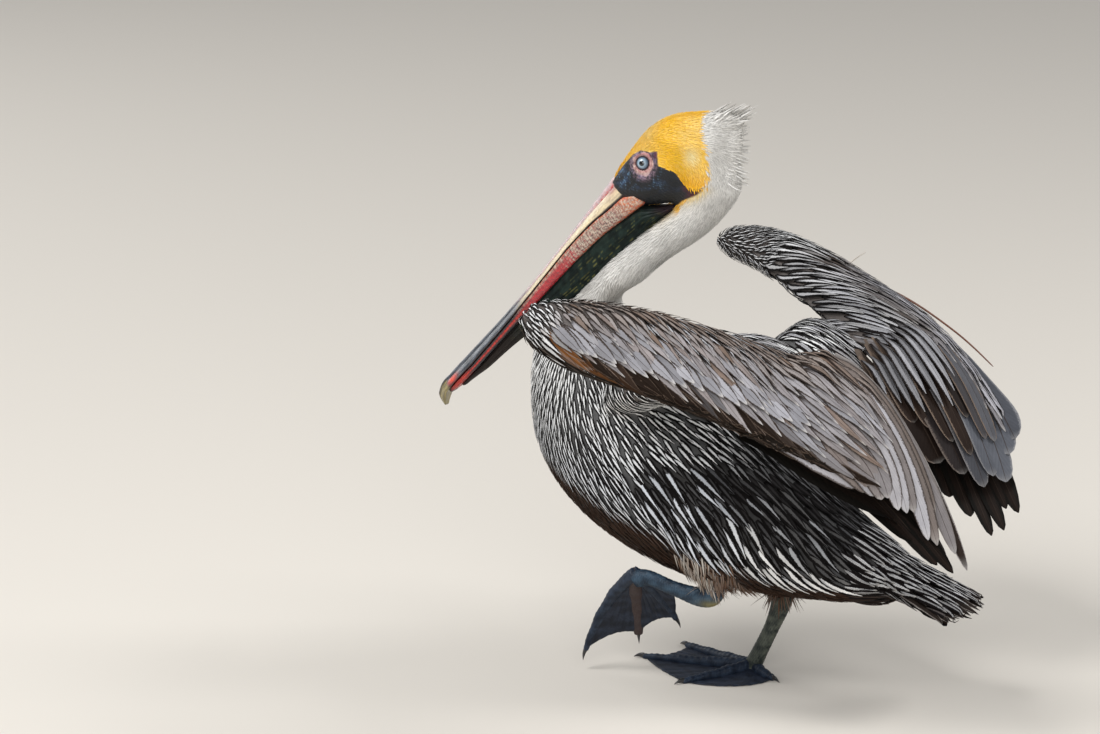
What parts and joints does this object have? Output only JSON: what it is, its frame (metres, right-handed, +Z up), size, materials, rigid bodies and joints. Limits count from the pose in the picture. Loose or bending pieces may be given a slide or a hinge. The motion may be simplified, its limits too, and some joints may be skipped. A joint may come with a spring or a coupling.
{
  "type": "brown pelican",
  "caption": "Life-size brown pelican in a striding pose, head drawn back, bill down and both wings half open, as a still museum model.",
  "frame": {"origin": "middle of the bounding box, at the level of the planted sole", "axes": "bird faces -Y, its left side is +X, up is +Z"},
  "size_m": [0.5626, 0.6664, 0.6251],
  "materials": {
    "trunk_plumage": "soft, matt feathers",
    "neck_plumage": "soft, matt feathers",
    "head_plumage": "soft, matt feathers",
    "bill_horn": "satin horn",
    "mandible_horn": "satin horn",
    "pouch_skin": "finely creased skin",
    "eye": "wet gloss",
    "tail_feathers": "smooth vanes",
    "thigh_plumage": "soft, matt feathers",
    "leg_scutes": "small dry scales",
    "wing_coverts": "soft, matt feathers",
    "secondaries": "smooth vanes",
    "primaries": "smooth vanes"
  },
  "bodies": {
    "root": {"bill_lower": "mandible_horn", "bill_upper": "bill_horn", "eye_left": "eye", "eye_right": "eye", "foot_left": "leg_scutes", "foot_right": "leg_scutes", "head": "head_plumage", "neck_lower": "neck_plumage", "neck_upper": "neck_plumage", "pouch": "pouch_skin", "shank_left": "leg_scutes", "shank_right": "leg_scutes", "tail": "tail_feathers", "thigh_left": "thigh_plumage", "thigh_right": "thigh_plumage", "trunk": "trunk_plumage", "wing_left_forearm": "wing_coverts", "wing_left_primaries": "primaries", "wing_left_secondaries": "secondaries", "wing_left_upper_arm": "wing_coverts", "wing_left_wrist": "wing_coverts", "wing_right_forearm": "wing_coverts", "wing_right_primaries": "primaries", "wing_right_secondaries": "secondaries", "wing_right_upper_arm": "wing_coverts", "wing_right_wrist": "wing_coverts"}
  },
  "joints": []
}
